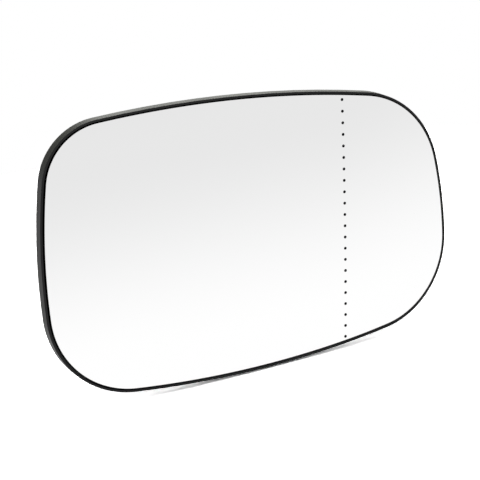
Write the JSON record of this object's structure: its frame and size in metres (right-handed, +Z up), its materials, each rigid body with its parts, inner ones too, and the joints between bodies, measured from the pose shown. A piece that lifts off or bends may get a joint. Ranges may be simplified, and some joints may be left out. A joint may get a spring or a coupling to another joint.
{
  "type": "car door mirror glass",
  "caption": "Convex door mirror glass in a black moulded rim, with a dotted line before its outer wide-angle zone and a clip ring behind.",
  "frame": {"origin": "centre of the clip ring on the back, half-way along the lands of its barbs", "axes": "+X to the outboard end, +Y from the glass out of the back, +Z up"},
  "size_m": [0.1897, 0.0142, 0.1215],
  "materials": {
    "mirror": "first-surface chrome on bent glass",
    "enamel": "black ceramic enamel",
    "heater_foil": "black polyester foil",
    "black_moulding": "fine grained black moulding",
    "tinned_blade": "bright tin plate",
    "rivet": "plain"
  },
  "bodies": {
    "root": {"mirror_glass": "mirror", "split_line_dots": "enamel", "heater_pad": "heater_foil", "backing_plate": "black_moulding", "terminal_upper": "tinned_blade", "terminal_lower": "tinned_blade", "terminal_rivets": "rivet"}
  },
  "joints": []
}
